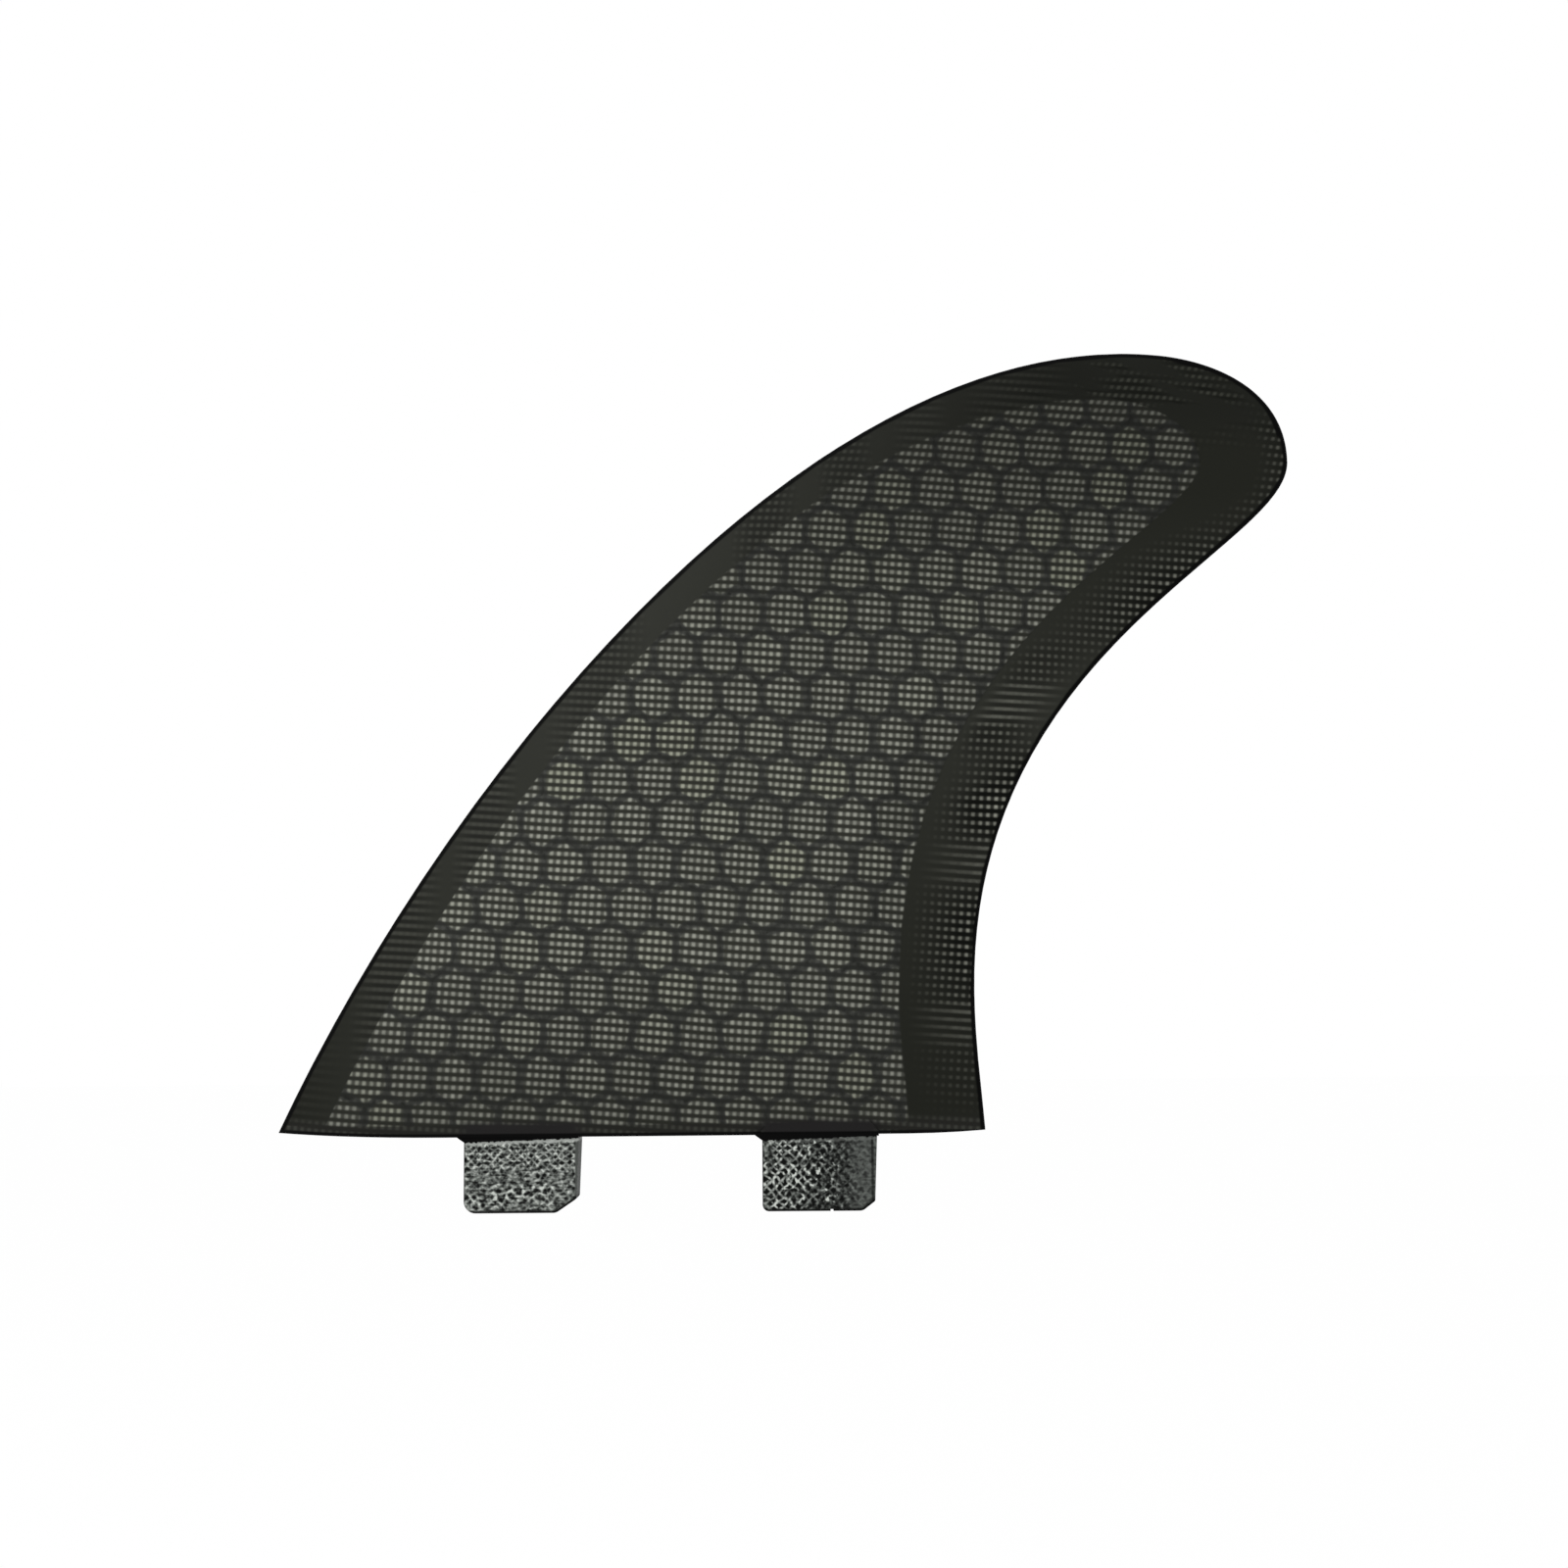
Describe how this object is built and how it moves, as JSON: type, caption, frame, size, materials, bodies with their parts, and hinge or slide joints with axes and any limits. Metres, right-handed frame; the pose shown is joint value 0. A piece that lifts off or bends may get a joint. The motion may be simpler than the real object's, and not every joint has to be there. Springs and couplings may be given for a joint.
{
  "type": "surfboard fin",
  "caption": "Swept surfboard fin with a honeycomb core under dark mesh cloth skins, and two square tabs that plug into the board.",
  "frame": {"origin": "on the base's flat face in the gap between the tabs, 35 mm behind the front tab's front end and 15 mm ahead of the rear tab, in the middle of the thickness", "axes": "+X runs back along the board to the trailing edge, +Y across the board, +Z from the board out to the tip"},
  "size_m": [0.1738, 0.0074, 0.147],
  "materials": {
    "glass_laminate": "woven glass in clear resin, machined satin on the tabs",
    "core_web": "resin soaked honeycomb",
    "mesh_cloth": "open mesh cloth set in clear resin, satin"
  },
  "bodies": {
    "root": {"laminate_body": "glass_laminate", "honeycomb_core": "core_web", "left_skin": "mesh_cloth", "right_skin": "mesh_cloth"}
  },
  "joints": []
}
